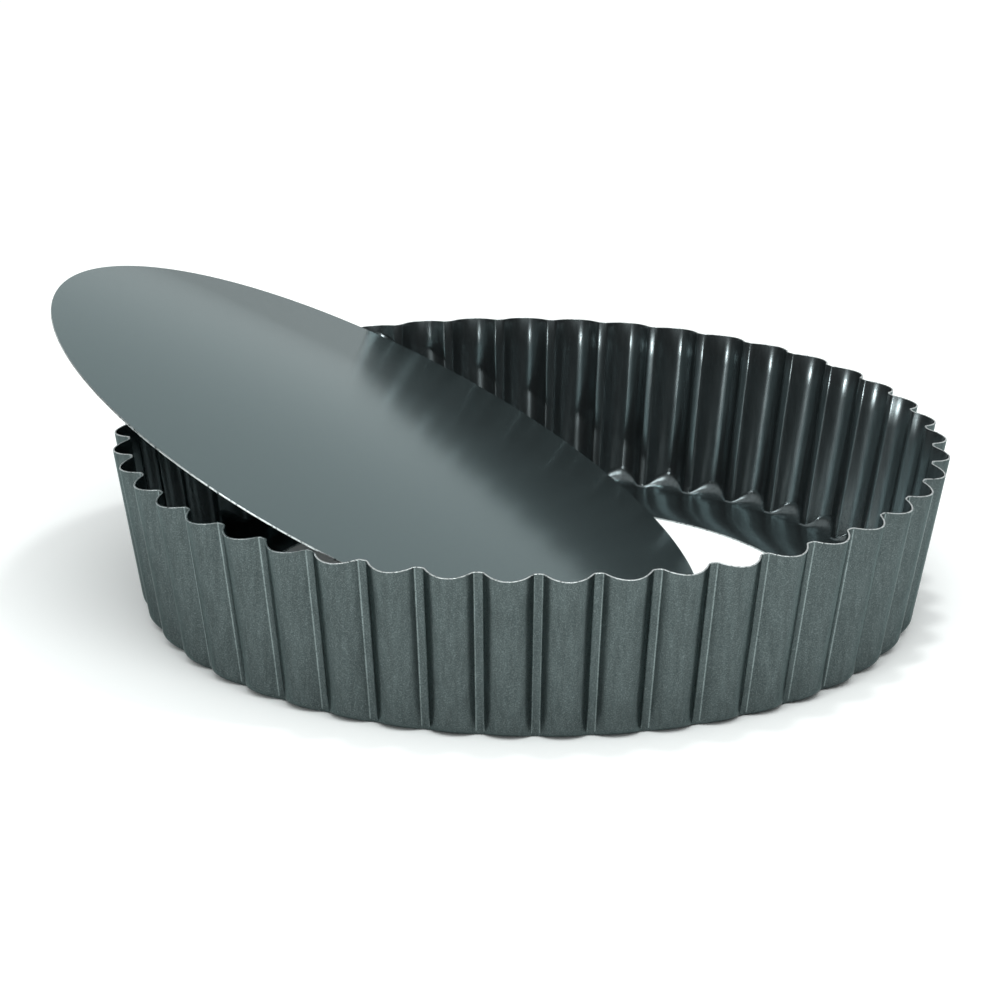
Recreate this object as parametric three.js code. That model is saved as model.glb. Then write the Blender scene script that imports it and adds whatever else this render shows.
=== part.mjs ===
// Fluted quiche tin with a loose base, in millimetres, +Z up, standing on the plane z = 0.
// The base has been taken out: its low edge stands on the table inside the hole of the ring's ledge,
// and its underside leans on the rim at two of the flutes.
import * as THREE from 'three';

// Ring: one pressed sheet, measured to the middle of its thickness.
const RIM_RADIUS = 124.7; // radius of the wall at the rim, halfway between ridges and lobes
const WALL_TAPER = 9.2; // how much smaller that radius is at the table
const WALL_HEIGHT = 52.5; // height of the rim above the table, halfway between ridges and lobes
const RING_SHEET = 0.5;
const LEDGE_WIDTH = 25.2; // flat width of the ledge inside the bend
const LOBE_FOOT_BEND = 5.4; // inside radius between wall and ledge under a lobe
const RIDGE_FOOT_BEND = 1.5; // and under a ridge, where the flute meets the ledge tightly

// Flutes: round lobes that face out, and between them narrow ridges that face in, each with a flat crest
// between two creases and a straight flank on each side.
const FLUTES = 45;
const RIM_SWING = 2.4; // half of the flutes' depth in plan at the rim
const FOOT_SWING = 1.6; // the same at the table, where the flutes are shallower
const CREST_SHARE = 0.16; // share of a flute that is the flat crest of its ridge
const RIDGE_SHARE = 0.45; // share of it that is the whole ridge, its two flanks with the crest
const RIM_RIPPLE = 0.45; // the cut edge stands higher on the ridges and lower on the lobes, by this much
const FIRST_RIDGE_DEG = 1.25; // bearing of one ridge, from -Y towards +X

// Loose base: a flat disc with its edge just broken.
const BASE_SHEET = 0.6;
const BASE_EDGE_BREAK = 0.1;
const SEAT_CLEARANCE = 2.8; // between the base's edge and the foot bend, when it is seated

// Lean of the base against the rim.
const LEAN_FOOT = 52.6; // where its low edge stands, from the ring's axis
const LEAN_SLIDE = 1.2; // how far it has slid towards the back along the ridges that carry it
const REST_OVERLAP = 1.2; // how far those ridges reach in under its edge at the least
const REST_GAP = 0.3; // left open under the base, at the ridges and at the table

// How finely the round forms are cut into flat faces.
const STEPS_IN_LOBE = 3; // from a flank to the middle of the lobe
const STEPS_IN_BEND = 3;
const STEPS_ROUND_BASE = 144;

const degrees = THREE.MathUtils.degToRad;
const fluteAngle = (2 * Math.PI) / FLUTES;
const firstRidge = degrees(FIRST_RIDGE_DEG);

// The flute wave in plan: flat along the crest of a ridge, straight down its flank, and a parabola over the
// lobe, which takes up the flank's slope and eases it to nothing in the middle.
const RIDGE = 1;
const LOBE = -1;

function fluteWave(bearing) {
  const flute = (bearing - firstRidge) / fluteAngle;
  const fromCrest = 2 * Math.abs(flute - Math.round(flute));
  const lobeWidth = 1 - RIDGE_SHARE;
  const flankFall = Math.min(Math.max(fromCrest, CREST_SHARE), RIDGE_SHARE) - CREST_SHARE;
  const intoLobe = Math.max(0, fromCrest - RIDGE_SHARE);
  const fall = flankFall + intoLobe - intoLobe ** 2 / (2 * lobeWidth);
  const wholeFall = RIDGE_SHARE - CREST_SHARE + lobeWidth / 2;
  return RIDGE + ((LOBE - RIDGE) * fall) / wholeFall;
}

// The places in half a flute at which its form is cut into faces: the crease, and then from the end of the
// flank to the middle of the lobe.
const halfFlute = [(CREST_SHARE / 2) * fluteAngle];
for (let step = 0; step <= STEPS_IN_LOBE; step += 1) {
  const fromCrest = RIDGE_SHARE + ((1 - RIDGE_SHARE) * step) / STEPS_IN_LOBE;
  halfFlute.push((fromCrest / 2) * fluteAngle);
}

// All bearings of faces round the ring, flute after flute: out over the lobe and back to the next ridge.
function columnBearings() {
  const onwards = halfFlute.slice(0, -1).reverse();
  const places = [...halfFlute, ...onwards.map((place) => fluteAngle - place)];
  const bearings = [];
  for (let flute = 0; flute < FLUTES; flute += 1) {
    places.forEach((place) => bearings.push(firstRidge + flute * fluteAngle + place));
  }
  return bearings;
}

// The wall is straight from the bend to the rim: its radius at the rim and, carried down, at the table.
function rimRadius(wave) {
  return RIM_RADIUS - RIM_SWING * wave;
}

function footRadius(wave) {
  return RIM_RADIUS - WALL_TAPER - FOOT_SWING * wave;
}

function wallLean(wave) {
  return Math.atan2(rimRadius(wave) - footRadius(wave), WALL_HEIGHT);
}

// Middle radius of the foot bend, and how far from the axis it runs out flat on the ledge. The wall leans
// outwards, so the bend turns through a little less than a right angle.
function bendRadius(wave) {
  const ridgeShare = (wave - LOBE) / (RIDGE - LOBE);
  return LOBE_FOOT_BEND + (RIDGE_FOOT_BEND - LOBE_FOOT_BEND) * ridgeShare + RING_SHEET / 2;
}

function ledgeStart(wave) {
  const lean = wallLean(wave);
  const wallAtLedge = footRadius(wave) + (Math.tan(lean) * RING_SHEET) / 2;
  return wallAtLedge - bendRadius(wave) * Math.tan(Math.PI / 4 - lean / 2);
}

const seatRadius = Math.min(ledgeStart(RIDGE), ledgeStart(LOBE));
const holeRadius = seatRadius - LEDGE_WIDTH;
const baseRadius = seatRadius - SEAT_CLEARANCE;

const UP = new THREE.Vector3(0, 0, 1);

// A point at a bearing from -Y towards +X.
function atBearing(bearing, radius, height) {
  return new THREE.Vector3(radius * Math.sin(bearing), -radius * Math.cos(bearing), height);
}

// The section of the sheet at one bearing, from the rim down the wall, round the bend and in to the hole.
// Each entry is a radius, a height and the slope of the sheet there, rising towards the rim.
function section(bearing) {
  const wave = fluteWave(bearing);
  const bend = bendRadius(wave);
  const wallSlope = Math.PI / 2 - wallLean(wave);
  const centre = { radius: ledgeStart(wave), height: RING_SHEET / 2 + bend };
  const rows = [];
  rows.push([rimRadius(wave), WALL_HEIGHT + RIM_RIPPLE * wave, wallSlope]);
  for (let step = 0; step <= STEPS_IN_BEND; step += 1) {
    const slope = (1 - step / STEPS_IN_BEND) * wallSlope;
    rows.push([
      centre.radius + bend * Math.sin(slope),
      centre.height - bend * Math.cos(slope),
      slope,
    ]);
  }
  rows.push([holeRadius, RING_SHEET / 2, 0]);
  return rows;
}

// The sheet's two faces lie half its thickness to each side of the middle, square to it.
function sheetFaces(bearing) {
  const nudge = fluteAngle / 1000;
  const before = section(bearing - nudge);
  const after = section(bearing + nudge);
  return section(bearing).map(([radius, height, slope], row) => {
    const middle = atBearing(bearing, radius, height);
    const round = atBearing(bearing + nudge, after[row][0], after[row][1]);
    round.sub(atBearing(bearing - nudge, before[row][0], before[row][1]));
    const up = atBearing(bearing, Math.cos(slope), Math.sin(slope));
    const outwards = round.cross(up).normalize().multiplyScalar(RING_SHEET / 2);
    return { outer: middle.clone().add(outwards), inner: middle.clone().sub(outwards) };
  });
}

function ringGeometry() {
  const bearings = columnBearings();
  const positions = [];
  let rows = 0;
  bearings.forEach((bearing) => {
    const faces = sheetFaces(bearing);
    // Round the section: down the outer face from rim to hole, and back up the inner face.
    const loop = [...faces.map((face) => face.outer), ...faces.map((face) => face.inner).reverse()];
    rows = loop.length;
    loop.forEach((point) => positions.push(point.x, point.y, point.z));
  });
  const indices = [];
  for (let column = 0; column < bearings.length; column += 1) {
    const next = (column + 1) % bearings.length;
    for (let row = 0; row < rows; row += 1) {
      const below = (row + 1) % rows;
      const corner = [column * rows + row, next * rows + row, next * rows + below, column * rows + below];
      indices.push(corner[0], corner[2], corner[1], corner[0], corner[3], corner[2]);
    }
  }
  const geometry = new THREE.BufferGeometry();
  geometry.setAttribute('position', new THREE.Float32BufferAttribute(positions, 3));
  geometry.setIndex(indices);
  geometry.computeVertexNormals();
  return geometry;
}

// A flat disc with its underside on z = 0.
function baseGeometry() {
  const inset = baseRadius - BASE_EDGE_BREAK;
  const profile = [
    new THREE.Vector2(0, 0),
    new THREE.Vector2(inset, 0),
    new THREE.Vector2(baseRadius, BASE_EDGE_BREAK),
    new THREE.Vector2(baseRadius, BASE_SHEET - BASE_EDGE_BREAK),
    new THREE.Vector2(inset, BASE_SHEET),
    new THREE.Vector2(0, BASE_SHEET),
  ];
  return new THREE.LatheGeometry(profile, STEPS_ROUND_BASE).rotateX(Math.PI / 2);
}

// The base leans on the first ridge on each side that its edge still covers. Bearings run from -Y, so
// the front ridge lies a little before 0 and the back one a little past half a turn.
function restingRidges() {
  const ridgeRadius = rimRadius(RIDGE) - RING_SHEET / 2;
  const least = Math.acos((baseRadius - LEAN_SLIDE - REST_OVERLAP) / ridgeRadius);
  const front = Math.floor((-least - firstRidge) / fluteAngle);
  const back = Math.ceil((Math.PI + least - firstRidge) / fluteAngle);
  return [front, back].map((flute) => firstRidge + flute * fluteAngle);
}

// How steep the base lies to rest on a ridge, which it meets at the crease that faces the low edge or at
// the end of the flank there. The turn is that of the line along which the base slopes.
function restingTilt(ridge, turn) {
  const [crease, flankEnd] = halfFlute;
  const tilts = [crease, flankEnd].map((place) => {
    const [rim] = sheetFaces(ridge + place);
    const rest = rim.inner.applyAxisAngle(UP, -turn);
    return Math.atan2(rest.z, LEAN_FOOT - rest.x);
  });
  return Math.max(...tilts);
}

function leaningBase(mesh) {
  const [front, back] = restingRidges();
  const turn = (front + back) / 2 - Math.PI / 2;
  const tilt = restingTilt(front, turn);
  mesh.rotation.y = tilt;
  mesh.position.x = LEAN_FOOT - baseRadius * Math.cos(tilt);
  mesh.position.y = LEAN_SLIDE;
  mesh.position.z = REST_GAP + baseRadius * Math.sin(tilt);
  const turned = new THREE.Group();
  turned.rotation.z = turn;
  turned.add(mesh);
  return turned;
}

const coatedSteel = { color: 0x4a5252, roughness: 0.38, metalness: 0.6 };

const ring = new THREE.Mesh(ringGeometry(), new THREE.MeshStandardMaterial(coatedSteel));
ring.name = 'fluted_ring';

const base = new THREE.Mesh(
  baseGeometry(),
  new THREE.MeshStandardMaterial({ ...coatedSteel, color: 0x6a7374, roughness: 0.3 }),
);
base.name = 'loose_base';

// The origin is the middle of the floor that the ring and the leaning base cover together.
const tin = new THREE.Group();
tin.add(ring, leaningBase(base));
tin.updateMatrixWorld(true);
const reach = new THREE.Box3().setFromObject(tin, true);
tin.position.set(-(reach.min.x + reach.max.x) / 2, -(reach.min.y + reach.max.y) / 2, 0);
tin.updateMatrixWorld(true);

export default tin;
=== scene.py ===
import math

import bpy
from mathutils import Matrix, Vector


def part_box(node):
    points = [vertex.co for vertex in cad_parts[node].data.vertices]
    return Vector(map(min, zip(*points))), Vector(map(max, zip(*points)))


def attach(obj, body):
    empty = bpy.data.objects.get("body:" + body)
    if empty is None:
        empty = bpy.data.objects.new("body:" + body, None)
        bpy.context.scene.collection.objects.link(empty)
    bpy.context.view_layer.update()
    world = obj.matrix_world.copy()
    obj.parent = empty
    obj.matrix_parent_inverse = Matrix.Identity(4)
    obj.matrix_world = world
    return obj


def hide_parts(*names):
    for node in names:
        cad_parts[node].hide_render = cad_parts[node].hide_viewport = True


bl_info = {
    "name": "Loose-base quiche tin",
    "version": (1, 0, 0),
    "blender": (4, 5, 0),
    "location": "3D View > Sidebar > Quiche tin",
    "description": "Models a fluted quiche tin with its loose base leaning on the rim, on a white table",
    "category": "Add Mesh",
}

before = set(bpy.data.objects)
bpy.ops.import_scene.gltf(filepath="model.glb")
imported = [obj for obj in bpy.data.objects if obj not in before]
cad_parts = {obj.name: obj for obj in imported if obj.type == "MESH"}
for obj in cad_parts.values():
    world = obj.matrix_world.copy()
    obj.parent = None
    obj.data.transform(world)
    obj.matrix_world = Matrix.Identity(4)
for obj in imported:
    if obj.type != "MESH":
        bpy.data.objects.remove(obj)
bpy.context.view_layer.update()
MM = 0.001

# How finely the pieces are cut into faces.
TURN_STEPS = 2  # to each side of a crease, of a shoulder and of the bend of a lobe
BEND_STEPS = 9  # round the foot bend
WALL_STEPS = 5  # from that bend up to the rim
LEDGE_PLACES = (0.0, 0.5, 0.9)  # rows of points across the ledge, as shares of its flat width
BASE_STEPS = 360  # round the base
EDGE_STEPS = 2  # across the rounding of a cut edge
EDGE_ANGLE = math.radians(60)  # an edge sharper than this is a cut edge
SMOOTH_ANGLE = math.radians(35)  # an edge blunter than this is shaded smooth

# Material slots of the ring. Solidify adds one fixed step to a face's slot for its cut edge and another
# for its inside, so a crease has a slot of its own for its cut edge. The inside of a crease would fall
# past the last slot, and then takes the last one.
OUTSIDE, CREASE, EDGE, CREASE_EDGE, INSIDE = range(5)

# Material slots of the base.
FLAT, CUT = range(2)

# Roughness of the coatings, in the pits of their grain and between them.
SATIN = (0.32, 0.26)
SEMI_GLOSS = (0.26, 0.2)
ROLLED = (0.24, 0.2)

# Nearly all of a noise texture lies between these values.
NOISE_LOW, NOISE_HIGH = 0.3, 0.7


def length(name, description, value):
    """A length setting, given in millimetres and kept in metres."""
    return bpy.props.FloatProperty(
        name=name, description=description, default=value * MM, unit="LENGTH", precision=5
    )


def angle(name, description, value):
    """An angle setting, given in degrees and kept in radians."""
    return bpy.props.FloatProperty(
        name=name, description=description, default=math.radians(value), subtype="ANGLE"
    )


def flute_share(name, description, value):
    """A setting that is a share of one flute."""
    return bpy.props.FloatProperty(name=name, description=description, default=value)


def colour(name, description, value):
    """A colour setting, as an sRGB hex value."""
    return bpy.props.StringProperty(name=name, description=description, default=value)


class TinRingSizes(bpy.types.PropertyGroup):
    """Sizes of the pressed ring, to the middle of its sheet."""

    rim_radius: length("Rim radius", "Radius at the rim, halfway between ridges and lobes", 124.7)
    wall_taper: length("Wall taper", "How much smaller that radius is at the table", 9.2)
    wall_height: length("Wall height", "Height of the rim, halfway between ridges and lobes", 52.5)
    sheet: length("Sheet", "Thickness of the coated sheet", 0.5)
    ledge_width: length("Ledge width", "Flat width of the ledge inside the bend", 25.2)
    lobe_foot_bend: length("Lobe foot bend", "Inside radius between wall and ledge under a lobe", 6.0)
    ridge_foot_bend: length("Ridge foot bend", "Inside radius between wall and ledge under a ridge", 0.9)
    flutes: bpy.props.IntProperty(name="Flutes", description="Number of lobes round the wall", default=45)
    rim_swing: length("Rim swing", "Half of the flutes' depth in plan at the rim", 2.4)
    foot_swing: length("Foot swing", "The same at the table, where the flutes are shallower", 2.1)
    crest_share: flute_share("Crest share", "Share of a flute that is the crest of its ridge", 0.16)
    ridge_share: flute_share("Ridge share", "Share of it that is crest and flanks together", 0.41)
    bend_share: flute_share("Bend share", "Share of it up to the middle of the lobe's bend", 0.78)
    crest_slope: angle("Crest slope", "Slope of the crowned crest in plan, where it meets the crease", 11.0)
    flank_slope: angle("Flank slope", "Slope of the straight flank in plan", 49.0)
    crease_round: length("Crease rounding", "Half the width of the rounding along a crease", 0.4)
    shoulder_round: length("Shoulder rounding", "The same where a flank turns into the lobe", 1.0)
    bend_round: length("Bend rounding", "The same in the lobe, which it makes round", 1.9)
    rim_ripple: length("Rim ripple", "Rise of the cut edge on the ridges, and its fall on the lobes", 0.45)
    first_ridge: angle("First ridge", "Bearing of one ridge, from -Y towards +X", 1.25)
    edge_break: length("Edge break", "Rounding of the cut edges", 0.12)


class TinBaseSizes(bpy.types.PropertyGroup):
    """Sizes of the loose base."""

    sheet: length("Sheet", "Thickness of the flat disc", 0.6)
    edge_break: length("Edge break", "Rounding of the cut edge", 0.12)
    seat_clearance: length("Seat clearance", "Gap round the base when it lies on the ledge", 2.8)


class TinFinish(bpy.types.PropertyGroup):
    """Colours of the coating, the bare edge and the table."""

    coating: colour("Coating", "Non-stick coating outside the ring", "#4F5858")
    # The inner coating is the outer one drawn paler: painted light that lifts the shade inside the ring.
    inner_coating_painted_lighter: colour("Inner coating", "Non-stick coating inside the ring", "#666E70")
    # Paler coating along each crease: a painted highlight, standing for the light that the crease's
    # rounding catches.
    crease_highlight_tone: colour("Rubbed crease", "Outer coating where a crease has rubbed it thin", "#849090")
    flake: colour("Flake", "Bright flakes in the ring's coating", "#646E6E")
    pit: colour("Pit", "Dark specks in that coating", "#444F50")
    coating_glance: colour("Coating glance", "Tint of that coating at a glancing angle", "#C2CCCC")
    base_coating: colour("Base coating", "Smoother coating of the base", "#677677")
    base_pit: colour("Base pit", "Dark specks in that coating", "#627072")
    base_glance: colour("Base glance", "Tint of that coating at a glancing angle", "#EDF7F8")
    bare_edge: colour("Bare edge", "Cut steel edge", "#C8CFCF")
    table: colour("Table", "White table", "#F1F6F5")


def linear(hex_value):
    """An sRGB hex value as a linear colour with full alpha, by the sRGB curve."""
    parts = [int(hex_value[place : place + 2], 16) / 255 for place in (1, 3, 5)]
    return tuple(p / 12.92 if p <= 0.04045 else ((p + 0.055) / 1.055) ** 2.4 for p in parts) + (1.0,)


def add_node(tree, kind, settings=None, sockets=None):
    """Adds a node with its settings. A socket takes a plain value or another node's output."""
    node = tree.nodes.new(kind)
    for name, value in (settings or {}).items():
        setattr(node, name, value)
    for name, value in (sockets or {}).items():
        if isinstance(value, bpy.types.NodeSocket):
            tree.links.new(value, node.inputs[name])
        else:
            node.inputs[name].default_value = value
    return node


def new_material(name):
    """A material with an empty node tree, and that tree."""
    material = bpy.data.materials.new(name)
    material.use_nodes = True
    material.node_tree.nodes.clear()
    return material, material.node_tree


def speckled_coating(finish, name, tone, roughness):
    """Sprayed non-stick coating on pressed steel: dark satin, with metallic grain and drawing streaks."""
    # The flakes are about 0.1 mm across. They are drawn at 0.38 mm, or the render would not show them.
    flake_size, grain_height = 0.38 * MM, 0.01 * MM
    pits_end, tone_place, flakes_start = 0.3, 0.5, 0.72
    in_pits, on_flakes = roughness
    # The press draws the sheet into upright streaks, some darker than the coating and some lighter.
    streak_width, streak_length = 1.5 * MM, 80 * MM
    streak_dark, streak_light = 0.82, 1.1
    material, tree = new_material(name)
    place = add_node(tree, "ShaderNodeTexCoord").outputs["Object"]
    grain = add_node(
        tree,
        "ShaderNodeTexNoise",
        sockets={"Vector": place, "Scale": 1 / flake_size, "Detail": 2.0, "Roughness": 0.6},
    ).outputs["Fac"]
    tones = add_node(tree, "ShaderNodeValToRGB", sockets={"Fac": grain})
    stops = tones.color_ramp.elements
    stops[0].position, stops[0].color = pits_end, linear(finish.pit)
    stops[1].position, stops[1].color = flakes_start, linear(finish.flake)
    stops.new(tone_place).color = linear(tone)
    streak_scale = (1 / streak_width, 1 / streak_width, 1 / streak_length)
    drawn = add_node(
        tree, "ShaderNodeMapping", sockets={"Vector": place, "Scale": streak_scale}
    ).outputs["Vector"]
    streaks = add_node(
        tree, "ShaderNodeTexNoise", sockets={"Vector": drawn, "Scale": 1.0, "Detail": 2.0}
    ).outputs["Fac"]
    shade = add_node(
        tree,
        "ShaderNodeMapRange",
        sockets={
            "Value": streaks,
            "From Min": NOISE_LOW,
            "From Max": NOISE_HIGH,
            "To Min": streak_dark,
            "To Max": streak_light,
        },
    ).outputs["Result"]
    # The mix node has sockets of one name for each kind of data. Its colours are inputs 6 and 7, output 2.
    tint = add_node(
        tree,
        "ShaderNodeMix",
        {"data_type": "RGBA", "blend_type": "MULTIPLY"},
        {0: 1.0, 6: tones.outputs["Color"], 7: shade},
    ).outputs[2]
    satin = add_node(
        tree,
        "ShaderNodeMapRange",
        sockets={
            "Value": grain,
            "From Min": NOISE_LOW,
            "From Max": NOISE_HIGH,
            "To Min": in_pits,
            "To Max": on_flakes,
        },
    ).outputs["Result"]
    relief = add_node(
        tree, "ShaderNodeBump", sockets={"Height": grain, "Strength": 0.1, "Distance": grain_height}
    ).outputs["Normal"]
    surface = add_node(
        tree,
        "ShaderNodeBsdfPrincipled",
        sockets={
            "Base Color": tint,
            "Metallic": 0.9,
            "Roughness": satin,
            "Specular Tint": linear(finish.coating_glance),
            "Normal": relief,
        },
    )
    add_node(tree, "ShaderNodeOutputMaterial", sockets={"Surface": surface.outputs["BSDF"]})
    return material


def smooth_coating(finish):
    """The same coating rolled onto flat sheet: smoother, with the grain only just showing."""
    # This grain is as fine as the ring's. It is drawn at 0.5 mm, or the render would not show it.
    grain_size = 0.5 * MM
    pits_end, flats_start = 0.35, 0.65
    in_pits, on_flats = ROLLED
    material, tree = new_material("smooth_nonstick_coating")
    place = add_node(tree, "ShaderNodeTexCoord").outputs["Object"]
    grain = add_node(
        tree,
        "ShaderNodeTexNoise",
        sockets={"Vector": place, "Scale": 1 / grain_size, "Detail": 2.0, "Roughness": 0.6},
    ).outputs["Fac"]
    tones = add_node(tree, "ShaderNodeValToRGB", sockets={"Fac": grain})
    stops = tones.color_ramp.elements
    stops[0].position, stops[0].color = pits_end, linear(finish.base_pit)
    stops[1].position, stops[1].color = flats_start, linear(finish.base_coating)
    satin = add_node(
        tree,
        "ShaderNodeMapRange",
        sockets={
            "Value": grain,
            "From Min": NOISE_LOW,
            "From Max": NOISE_HIGH,
            "To Min": in_pits,
            "To Max": on_flats,
        },
    ).outputs["Result"]
    surface = add_node(
        tree,
        "ShaderNodeBsdfPrincipled",
        sockets={
            "Base Color": tones.outputs["Color"],
            "Metallic": 0.78,
            "Roughness": satin,
            "Specular Tint": linear(finish.base_glance),
        },
    )
    add_node(tree, "ShaderNodeOutputMaterial", sockets={"Surface": surface.outputs["BSDF"]})
    return material


def bare_steel(finish):
    """Sheared steel edge, where the cut has gone through the coating: pale and finely torn."""
    tear_spacing = 0.8 * MM
    coated_end, bare_start = 0.28, 0.46
    material, tree = new_material("sheared_steel_edge")
    place = add_node(tree, "ShaderNodeTexCoord").outputs["Object"]
    torn = add_node(
        tree, "ShaderNodeTexNoise", sockets={"Vector": place, "Scale": 1 / tear_spacing, "Detail": 1.0}
    ).outputs["Fac"]
    tones = add_node(tree, "ShaderNodeValToRGB", sockets={"Fac": torn})
    stops = tones.color_ramp.elements
    stops[0].position, stops[0].color = coated_end, linear(finish.coating)
    stops[1].position, stops[1].color = bare_start, linear(finish.bare_edge)
    surface = add_node(
        tree,
        "ShaderNodeBsdfPrincipled",
        sockets={"Base Color": tones.outputs["Color"], "Metallic": 1.0, "Roughness": 0.4},
    )
    add_node(tree, "ShaderNodeOutputMaterial", sockets={"Surface": surface.outputs["BSDF"]})
    return material


def rounded(distance, rounding):
    """A ramp that starts at 0, with its corner rounded to both sides."""
    if abs(distance) < rounding:
        return (distance + rounding) ** 2 / (4 * rounding)
    return max(0.0, distance)


def flute_fall(sizes, from_crest, radius, swing):
    """How far the wall stands back from a ridge: a crown, a steep flank, the lobe's side and its round.

    The place runs from 0 at the middle of the crest to 1 at the middle of the lobe. The flank keeps its
    slope from rim to foot, and the side of the lobe takes up the rest of the depth.
    """
    half_pitch = math.pi * radius / sizes.flutes
    crease, shoulder, bend = sizes.crest_share, sizes.ridge_share, sizes.bend_share
    crown, flank = math.tan(sizes.crest_slope), math.tan(sizes.flank_slope)
    side_depth = 2 * swing / half_pitch - crown * crease / 2 - flank * (shoulder - crease)
    side = side_depth / (bend - shoulder)
    fall = crown * min(from_crest, crease) ** 2 / (2 * crease)
    fall += flank * rounded(from_crest - crease, sizes.crease_round / half_pitch)
    fall -= (flank - side) * rounded(from_crest - shoulder, sizes.shoulder_round / half_pitch)
    fall -= side * rounded(from_crest - bend, sizes.bend_round / half_pitch)
    return fall * half_pitch


def flute_places(sizes):
    """Places across half a flute, from crest to lobe, close together at each turn of its form."""
    half_pitch = math.pi * sizes.rim_radius / sizes.flutes
    turns = (
        (sizes.crest_share, sizes.crease_round),
        (sizes.ridge_share, sizes.shoulder_round),
        (sizes.bend_share, sizes.bend_round),
    )
    steps = range(-TURN_STEPS, TURN_STEPS + 1)
    places = [0.0, sizes.crest_share / 2]
    for place, rounding in turns:
        places += [place + rounding / half_pitch * step / TURN_STEPS for step in steps]
    return places + [1.0]


def rim_radius(sizes, from_crest):
    """Radius of the wall at the rim."""
    crest = sizes.rim_radius - sizes.rim_swing
    return crest + flute_fall(sizes, from_crest, sizes.rim_radius, sizes.rim_swing)


def foot_radius(sizes, from_crest):
    """Radius of the wall where it would meet the table without its bend."""
    middle = sizes.rim_radius - sizes.wall_taper
    return middle - sizes.foot_swing + flute_fall(sizes, from_crest, middle, sizes.foot_swing)


def wall_lean(sizes, from_crest):
    """Angle of the wall from upright, outwards."""
    return math.atan2(rim_radius(sizes, from_crest) - foot_radius(sizes, from_crest), sizes.wall_height)


def bend_radius(sizes, from_crest):
    """Radius of the foot bend, to the middle of the sheet: tight under a ridge and wide under a lobe."""
    lobe_share = (foot_radius(sizes, from_crest) - foot_radius(sizes, 0.0)) / (2 * sizes.foot_swing)
    inside = sizes.ridge_foot_bend + (sizes.lobe_foot_bend - sizes.ridge_foot_bend) * lobe_share
    return inside + sizes.sheet / 2


def ledge_start(sizes, from_crest):
    """How far from the axis the foot bend runs out flat on the ledge."""
    lean = wall_lean(sizes, from_crest)
    wall_at_ledge = foot_radius(sizes, from_crest) + math.tan(lean) * sizes.sheet / 2
    return wall_at_ledge - bend_radius(sizes, from_crest) * math.tan(math.pi / 4 - lean / 2)


def seat_radius(sizes):
    """Radius of the flat of the ledge, at the ridges or the lobes, whichever reach further in."""
    return min(ledge_start(sizes, 0.0), ledge_start(sizes, 1.0))


def section(sizes, from_crest):
    """Radius and height of the sheet's middle, from the hole along the ledge and up the wall to the rim."""
    level = sizes.sheet / 2
    start = ledge_start(sizes, from_crest)
    hole = seat_radius(sizes) - sizes.ledge_width
    rows = [(hole + sizes.ledge_width * place, level) for place in LEDGE_PLACES]
    bend = bend_radius(sizes, from_crest)
    for step in range(BEND_STEPS + 1):
        slope = step / BEND_STEPS * (math.pi / 2 - wall_lean(sizes, from_crest))
        rows.append((start + bend * math.sin(slope), level + bend * (1 - math.cos(slope))))
    low_radius, low_height = rows[-1]
    high_radius = rim_radius(sizes, from_crest)
    ripple = (sizes.rim_radius - high_radius) / sizes.rim_swing * sizes.rim_ripple
    high_height = sizes.wall_height + ripple
    for step in range(1, WALL_STEPS + 1):
        up_wall = step / WALL_STEPS
        radius = low_radius + (high_radius - low_radius) * up_wall
        rows.append((radius, low_height + (high_height - low_height) * up_wall))
    return rows


def node_middle(node):
    """Middle of a CAD node's box."""
    low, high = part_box(node)
    return (low + high) / 2


def only_selected(piece):
    """Selects one piece alone and makes it active."""
    bpy.ops.object.select_all(action="DESELECT")
    piece.select_set(True)
    bpy.context.view_layer.objects.active = piece


def finish_piece(piece, name, body, node):
    """Names a finished piece, rounds its shading, and parents it to its body's empty in place of its CAD
    node, which it hides.
    """
    piece.name = name
    piece.data.name = name
    only_selected(piece)
    bpy.ops.object.transform_apply(location=True, rotation=True, scale=True)
    bpy.ops.object.shade_smooth_by_angle(angle=SMOOTH_ANGLE)
    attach(piece, body)
    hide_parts(node)


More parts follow.
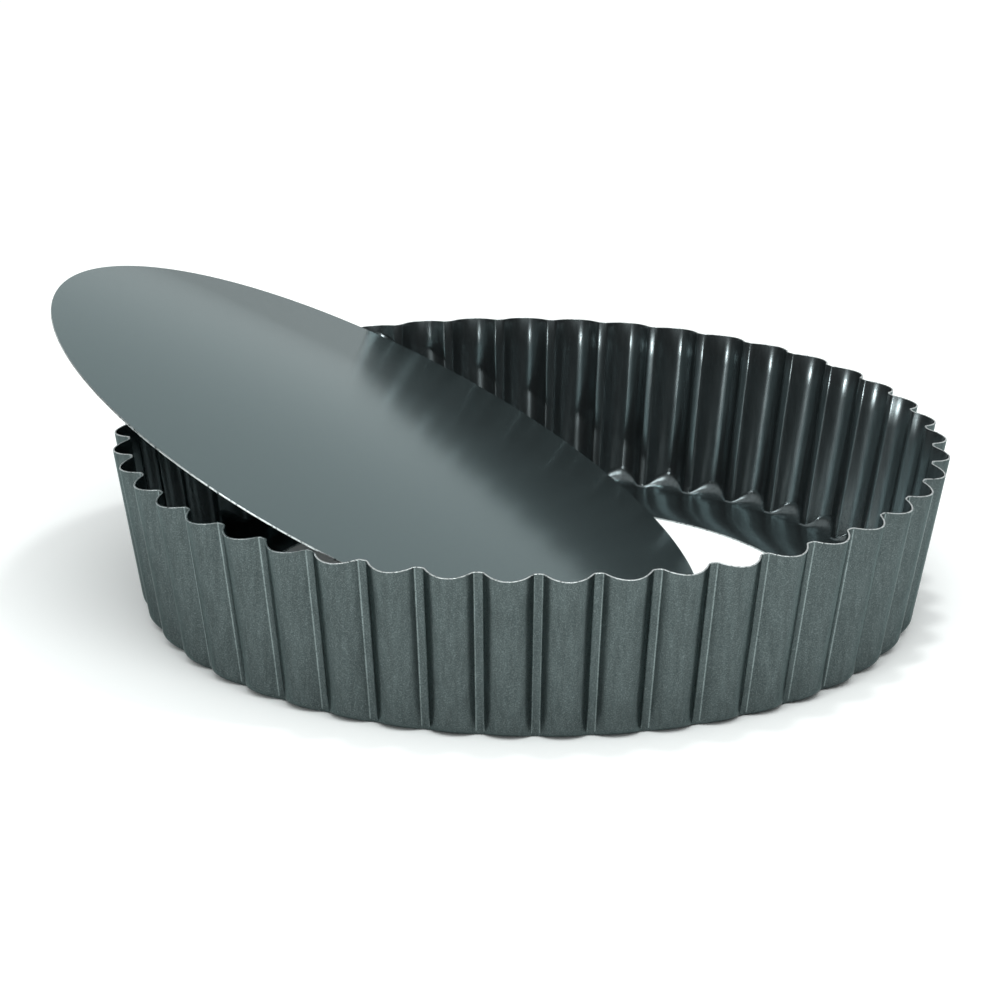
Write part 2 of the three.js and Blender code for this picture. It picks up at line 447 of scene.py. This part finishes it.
class TIN_OT_press_ring(bpy.types.Operator):
    """Press the fluted ring: a ledge round a hole, a bend, and a tapered wall of lobes and ridges"""

    bl_idname = "tin.press_ring"
    bl_label = "Press the fluted ring"

    def execute(self, context):
        sizes, finish = context.scene.tin_ring, context.scene.tin_finish
        axis = node_middle("fluted_ring")
        half = flute_places(sizes)
        shares = [place / 2 for place in half] + [1 - place / 2 for place in reversed(half[1:-1])]
        # A plain ring is drawn first, with the same section all round, and then its flutes are pressed.
        plain = section(sizes, sizes.ridge_share)
        ring = self.plain_ring(context, plain, axis, sizes.flutes * len(shares))
        self.press_flutes(ring, sizes, axis, plain, shares)
        # The inside is sprayed more smoothly than the outside. Its coating is also drawn paler, as painted
        # light that lifts the shade inside the ring.
        coatings = {
            OUTSIDE: speckled_coating(finish, "speckled_nonstick_coating", finish.coating, SATIN),
            # The creases take that paler coating, which is a painted highlight.
            CREASE: speckled_coating(finish, "painted_highlight_coating", finish.crease_highlight_tone, SATIN),
            EDGE: bare_steel(finish),
            CREASE_EDGE: bare_steel(finish),
            INSIDE: speckled_coating(finish, "glossier_lightened_inside_coating", finish.inner_coating_painted_lighter, SEMI_GLOSS),
        }
        for slot in sorted(coatings):
            ring.data.materials.append(coatings[slot])
        self.paint_crease_highlights(ring, sizes, axis)
        self.thicken(ring, sizes)
        finish_piece(ring, "fluted_ring_pressing", "ring", "fluted_ring")
        return {"FINISHED"}

    def plain_ring(self, context, plain, axis, columns):
        """Draws the edge of the hole as a circle and extrudes it along the section up to the rim."""
        hole, level = plain[0]
        bpy.ops.object.select_all(action="DESELECT")
        bpy.ops.mesh.primitive_circle_add(vertices=columns, radius=hole, location=(axis.x, axis.y, level))
        ring = context.object
        bpy.ops.object.transform_apply(location=True, rotation=True, scale=True)
        bpy.ops.object.mode_set(mode="EDIT")
        bpy.ops.mesh.select_all(action="SELECT")
        for (radius, height), (next_radius, next_height) in zip(plain, plain[1:]):
            bpy.ops.mesh.extrude_edges_move(TRANSFORM_OT_translate={"value": (0, 0, next_height - height)})
            widen = next_radius / radius
            bpy.ops.transform.resize(value=(widen, widen, 1), center_override=(axis.x, axis.y, 0))
        bpy.ops.object.mode_set(mode="OBJECT")
        return ring

    def press_flutes(self, ring, sizes, axis, plain, shares):
        """Moves each point of the plain ring to its place on the fluted section of its column."""
        sections = [section(sizes, 2 * min(share, 1 - share)) for share in shares]
        flute_angle = 2 * math.pi / sizes.flutes
        column_angle = flute_angle / len(shares)
        for point in ring.data.vertices:
            across = Vector((point.co.x - axis.x, point.co.y - axis.y))
            radius, height = across.length, point.co.z
            row = min(
                range(len(plain)), key=lambda n: math.hypot(radius - plain[n][0], height - plain[n][1])
            )
            column = round(math.atan2(across.x, -across.y) / column_angle)
            flute, place = divmod(column, len(shares))
            bearing = sizes.first_ridge + (flute + shares[place]) * flute_angle
            radius, height = sections[place][row]
            point.co = (axis.x + radius * math.sin(bearing), axis.y - radius * math.cos(bearing), height)

    def paint_crease_highlights(self, ring, sizes, axis):
        """Paints a highlight along the middle of each crease of the wall, above the foot bend, as a paler
        coating of its own.
        """
        half_pitch = math.pi * sizes.rim_radius / sizes.flutes
        for face in ring.data.polygons:
            across = face.center - axis
            flute = (math.atan2(across.x, -across.y) - sizes.first_ridge) * sizes.flutes / (2 * math.pi)
            from_crest = 2 * abs(flute - round(flute))
            off_crease = abs(from_crest - sizes.crest_share) * half_pitch
            on_wall = face.center.z > sizes.lobe_foot_bend
            face.material_index = CREASE if on_wall and off_crease < sizes.crease_round / 2 else OUTSIDE

    def thicken(self, ring, sizes):
        """Gives the pressed surface the thickness of its sheet, and rounds the cut edges."""
        only_selected(ring)
        sheet = ring.modifiers.new("Sheet", "SOLIDIFY")
        sheet.thickness = sizes.sheet
        sheet.offset = 0
        sheet.use_even_offset = True
        sheet.use_quality_normals = True
        sheet.material_offset_rim = EDGE - OUTSIDE
        sheet.material_offset = INSIDE - OUTSIDE
        bpy.ops.object.modifier_apply(modifier=sheet.name)
        edges = ring.modifiers.new("Edge break", "BEVEL")
        edges.width = sizes.edge_break
        edges.segments = EDGE_STEPS
        edges.limit_method = "ANGLE"
        edges.angle_limit = EDGE_ANGLE
        edges.material = EDGE
        bpy.ops.object.modifier_apply(modifier=edges.name)


class TIN_OT_cut_base(bpy.types.Operator):
    """Cut the loose base: a flat disc with a broken edge, leaning on two ridges of the rim"""

    bl_idname = "tin.cut_base"
    bl_label = "Cut the loose base"

    def execute(self, context):
        sizes, ring, finish = context.scene.tin_base, context.scene.tin_ring, context.scene.tin_finish
        radius = seat_radius(ring) - sizes.seat_clearance
        bpy.ops.object.select_all(action="DESELECT")
        bpy.ops.mesh.primitive_cylinder_add(
            vertices=BASE_STEPS, radius=radius, depth=sizes.sheet, end_fill_type="NGON", location=(0, 0, 0)
        )
        base = context.object
        bpy.ops.object.transform_apply(location=True, rotation=True, scale=True)
        coatings = {FLAT: smooth_coating(finish), CUT: bare_steel(finish)}
        for slot in sorted(coatings):
            base.data.materials.append(coatings[slot])
        for face in base.data.polygons:
            lies_flat = abs(face.normal.z) > 0.5
            face.material_index = FLAT if lies_flat else CUT
        bpy.ops.object.mode_set(mode="EDIT")
        bpy.ops.mesh.select_all(action="SELECT")
        bpy.ops.mesh.bevel(offset=sizes.edge_break, segments=EDGE_STEPS, affect="EDGES")
        bpy.ops.object.mode_set(mode="OBJECT")
        base.matrix_world = self.lean(sizes, ring, radius)
        finish_piece(base, "loose_base_disc", "base", "loose_base")
        return {"FINISHED"}

    def lean(self, sizes, ring, radius):
        """Turns the flat disc onto its CAD node, which slopes along the line midway between two ridges."""
        low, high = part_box("loose_base")
        inset, half_sheet = radius - sizes.edge_break, sizes.sheet / 2
        rise = math.asin((high.z - low.z) / 2 / math.hypot(inset, half_sheet))
        tilt = rise - math.atan2(half_sheet, inset)
        half_flute = math.pi / ring.flutes
        slope_line = math.remainder(ring.first_ridge - math.pi / 2, half_flute)
        turn = Matrix.Rotation(slope_line, 4, "Z") @ Matrix.Rotation(tilt, 4, "Y")
        return Matrix.Translation((low + high) / 2) @ turn


class TIN_OT_set_stage(bpy.types.Operator):
    """Set the white table, the studio round it, the lamps and the camera"""

    bl_idname = "tin.set_stage"
    bl_label = "Set the stage"

    def execute(self, context):
        self.table(context.scene.tin_finish)
        self.studio(context.scene)
        self.lamps()
        self.camera(context.scene)
        context.scene.view_settings.view_transform = "Standard"
        return {"FINISHED"}

    def table(self, finish):
        """A matt white table, which shows white to the camera and in the tin, and keeps the shadow."""
        table_width = 8.0
        lift_strength, shade_reach = 0.3, 110 * MM
        bpy.ops.object.select_all(action="DESELECT")
        bpy.ops.mesh.primitive_plane_add(size=table_width, location=(0, 0, 0))
        table = bpy.context.object
        table.name = "white_table"
        material, tree = new_material("white_laminate_table")
        ray = add_node(tree, "ShaderNodeLightPath").outputs
        shown = add_node(
            tree, "ShaderNodeMath", {"operation": "ADD"}, {0: ray["Is Camera Ray"], 1: ray["Is Glossy Ray"]}
        ).outputs["Value"]
        seen = add_node(
            tree,
            "ShaderNodeMath",
            {"operation": "ADD", "use_clamp": True},
            {0: shown, 1: ray["Is Transmission Ray"]},
        ).outputs["Value"]
        # The light leaves the table a little under white. This lifts it where it is seen, and less the more
        # of the tin stands over it, so that the shadow stays.
        open_sky = add_node(
            tree, "ShaderNodeAmbientOcclusion", {"samples": 8}, {"Distance": shade_reach}
        ).outputs["Color"]
        lift = add_node(
            tree, "ShaderNodeMath", {"operation": "MULTIPLY"}, {0: seen, 1: lift_strength}
        ).outputs["Value"]
        glow = add_node(tree, "ShaderNodeEmission", sockets={"Color": open_sky, "Strength": lift})
        matt = add_node(tree, "ShaderNodeBsdfDiffuse", sockets={"Color": linear(finish.table)})
        both = add_node(
            tree, "ShaderNodeAddShader", sockets={0: matt.outputs["BSDF"], 1: glow.outputs["Emission"]}
        )
        add_node(tree, "ShaderNodeOutputMaterial", sockets={"Surface": both.outputs["Shader"]})
        table.data.materials.append(material)

    def studio(self, scene):
        """A white backdrop and a white ceiling, and a dark room low down behind the camera."""
        dark_room = 0.03
        # The way in which each lies, where it begins and where it is full along that, and its strength.
        backdrop = ("Y", 0.3, 0.75, 1.0)
        ceiling = ("Z", 0.34, 0.58, 0.9)
        world = bpy.data.worlds.new("studio")
        scene.world = world
        world.use_nodes = True
        tree = world.node_tree
        tree.nodes.clear()
        way = add_node(tree, "ShaderNodeTexCoord").outputs["Generated"]
        parts = add_node(tree, "ShaderNodeSeparateXYZ", sockets={"Vector": way}).outputs
        walls = []
        for axis, begins, full, strength in (backdrop, ceiling):
            wall = add_node(
                tree,
                "ShaderNodeMapRange",
                {"interpolation_type": "SMOOTHSTEP"},
                {
                    "Value": parts[axis],
                    "From Min": begins,
                    "From Max": full,
                    "To Min": dark_room,
                    "To Max": strength,
                },
            )
            walls.append(wall.outputs["Result"])
        white = add_node(
            tree, "ShaderNodeMath", {"operation": "MAXIMUM"}, {0: walls[0], 1: walls[1]}
        ).outputs["Value"]
        light = add_node(tree, "ShaderNodeBackground", sockets={"Strength": white})
        add_node(tree, "ShaderNodeOutputWorld", sockets={"Surface": light.outputs["Background"]})

    def lamps(self):
        """A soft box in front, a small lamp overhead that draws the scalloped shadow, and a left flash."""
        aim = Vector((0, 0, 30 * MM))
        # Place, width and height in metres, and power in watts.
        boxes = {
            "front_box": ((0.1, -0.8, 1.05), 1.0, 0.5, 9.0),
            "top_lamp": ((0.13, 0.0, 1.25), 0.12, 0.12, 3.2),
            "left_flash": ((-0.85, -1.2, 0.32), 0.15, 0.15, 4.5),
        }
        for name, (place, width, height, power) in boxes.items():
            bpy.ops.object.light_add(type="AREA", location=place)
            lamp = bpy.context.object
            lamp.name = name
            lamp.rotation_euler = (aim - Vector(place)).to_track_quat("-Z", "Y").to_euler()
            lamp.data.shape = "RECTANGLE"
            lamp.data.size = width
            lamp.data.size_y = height
            lamp.data.energy = power

    def camera(self, scene):
        """A long lens straight in front of the ring's axis, aimed a little below and left of the rim."""
        image_width, focal_pixels, sensor_width = 1000.0, 4920.1, 36.0
        distance, elevation, roll = 1.5, math.radians(18.38), math.radians(-0.88)
        # The middle of the rim shows this many pixels right of the picture's middle, and above it.
        rim_right, rim_up = 31.4, 61.9
        middle = node_middle("fluted_ring")
        rim = Vector((middle.x, middle.y, scene.tin_ring.wall_height))
        back = Vector((0, -math.cos(elevation), math.sin(elevation)))
        right = Vector((1, 0, 0))
        up = back.cross(right)
        right, up = (
            right * math.cos(roll) - up * math.sin(roll),
            right * math.sin(roll) + up * math.cos(roll),
        )
        eye = rim + back * distance
        scale = distance / focal_pixels
        target = rim - right * rim_right * scale - up * rim_up * scale
        look_back = (eye - target).normalized()
        side = up.cross(look_back).normalized()
        above = look_back.cross(side)
        turn = Matrix((side, above, look_back)).transposed()
        bpy.ops.object.camera_add(location=eye, rotation=turn.to_euler())
        camera = bpy.context.object
        camera.name = "photo_camera"
        camera.data.sensor_width = sensor_width
        camera.data.lens = focal_pixels * sensor_width / image_width
        scene.camera = camera


class TIN_PT_panel(bpy.types.Panel):
    """Sizes, colours and steps of the quiche tin"""

    bl_idname = "TIN_PT_panel"
    bl_label = "Quiche tin"
    bl_space_type = "VIEW_3D"
    bl_region_type = "UI"
    bl_category = "Quiche tin"

    def draw(self, context):
        scene = context.scene
        for title, group, operator in (
            ("Ring", scene.tin_ring, TIN_OT_press_ring),
            ("Base", scene.tin_base, TIN_OT_cut_base),
            ("Finish", scene.tin_finish, TIN_OT_set_stage),
        ):
            column = self.layout.column(heading=title)
            for name in group.__annotations__:
                column.prop(group, name)
            column.operator(operator.bl_idname)


CLASSES = (
    TinRingSizes,
    TinBaseSizes,
    TinFinish,
    TIN_OT_press_ring,
    TIN_OT_cut_base,
    TIN_OT_set_stage,
    TIN_PT_panel,
)


def register():
    for kind in CLASSES:
        bpy.utils.register_class(kind)
    bpy.types.Scene.tin_ring = bpy.props.PointerProperty(type=TinRingSizes)
    bpy.types.Scene.tin_base = bpy.props.PointerProperty(type=TinBaseSizes)
    bpy.types.Scene.tin_finish = bpy.props.PointerProperty(type=TinFinish)


def unregister():
    del bpy.types.Scene.tin_finish
    del bpy.types.Scene.tin_base
    del bpy.types.Scene.tin_ring
    for kind in reversed(CLASSES):
        bpy.utils.unregister_class(kind)


def main():
    register()
    bpy.ops.tin.press_ring()
    bpy.ops.tin.cut_base()
    bpy.ops.tin.set_stage()


if __name__ == "__main__":
    main()
